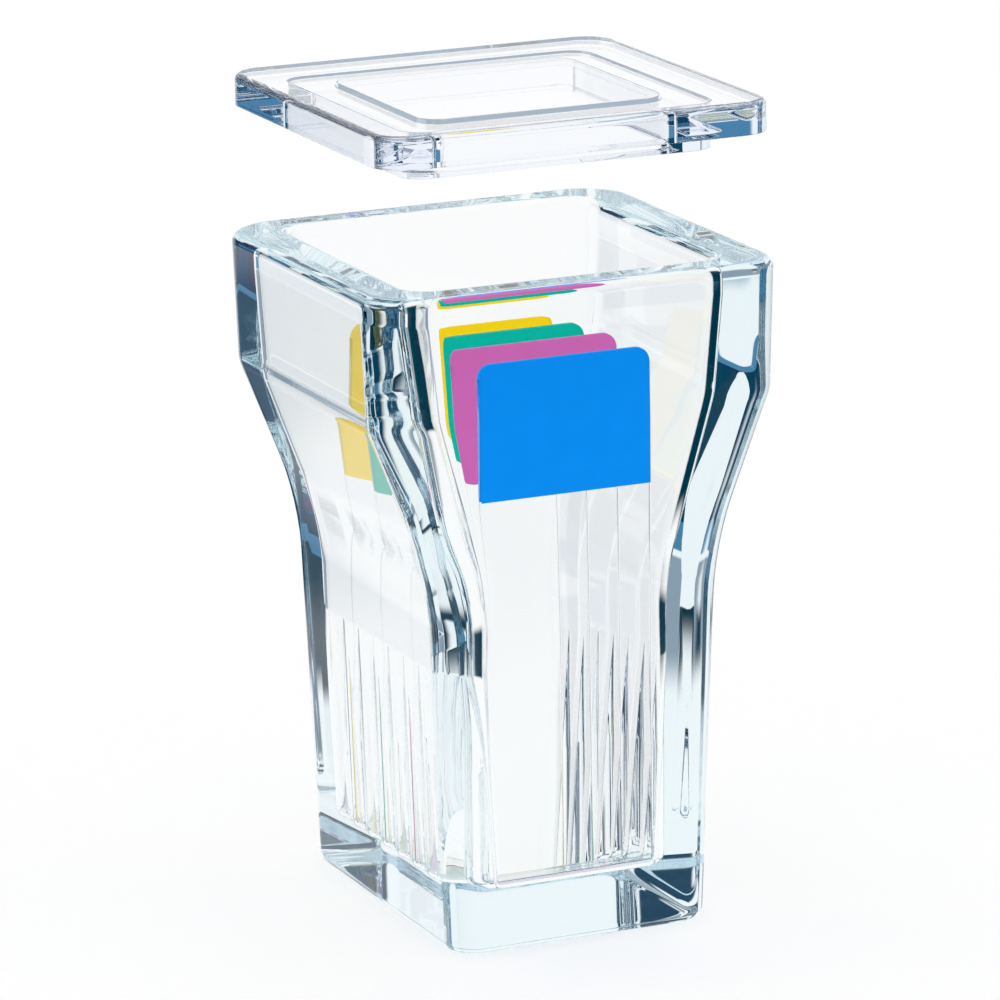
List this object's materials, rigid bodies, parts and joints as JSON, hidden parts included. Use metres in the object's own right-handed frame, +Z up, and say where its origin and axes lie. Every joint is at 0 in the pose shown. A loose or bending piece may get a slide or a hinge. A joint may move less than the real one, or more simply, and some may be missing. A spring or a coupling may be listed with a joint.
{
  "type": "slide staining jar",
  "caption": "Clear pressed glass staining jar with a flared mouth, a lifted glass lid and microscope slides with coloured ends standing in its wall grooves.",
  "frame": {"origin": "centre of the jar's base, on the surface that the jar stands on", "axes": "+Z up out of the mouth, +X across the faces of the slides, +Y from the front slide towards the back one"},
  "size_m": [0.0622, 0.0596, 0.1186],
  "materials": {
    "jar_glass": "clear pressed soda-lime glass, fire polished",
    "lid_glass": "clear pressed soda-lime glass, fire polished",
    "slide_blue_end": "clear cut glass with one end printed matt blue",
    "slide_pink_end": "clear cut glass with one end printed matt pink",
    "slide_green_end": "clear cut glass with one end printed matt green",
    "slide_yellow_end": "clear cut glass with one end printed matt yellow"
  },
  "bodies": {
    "root": {"jar": "jar_glass", "lid": "lid_glass", "slide_blue": "slide_blue_end", "slide_pink": "slide_pink_end", "slide_green": "slide_green_end", "slide_yellow": "slide_yellow_end"}
  },
  "joints": []
}
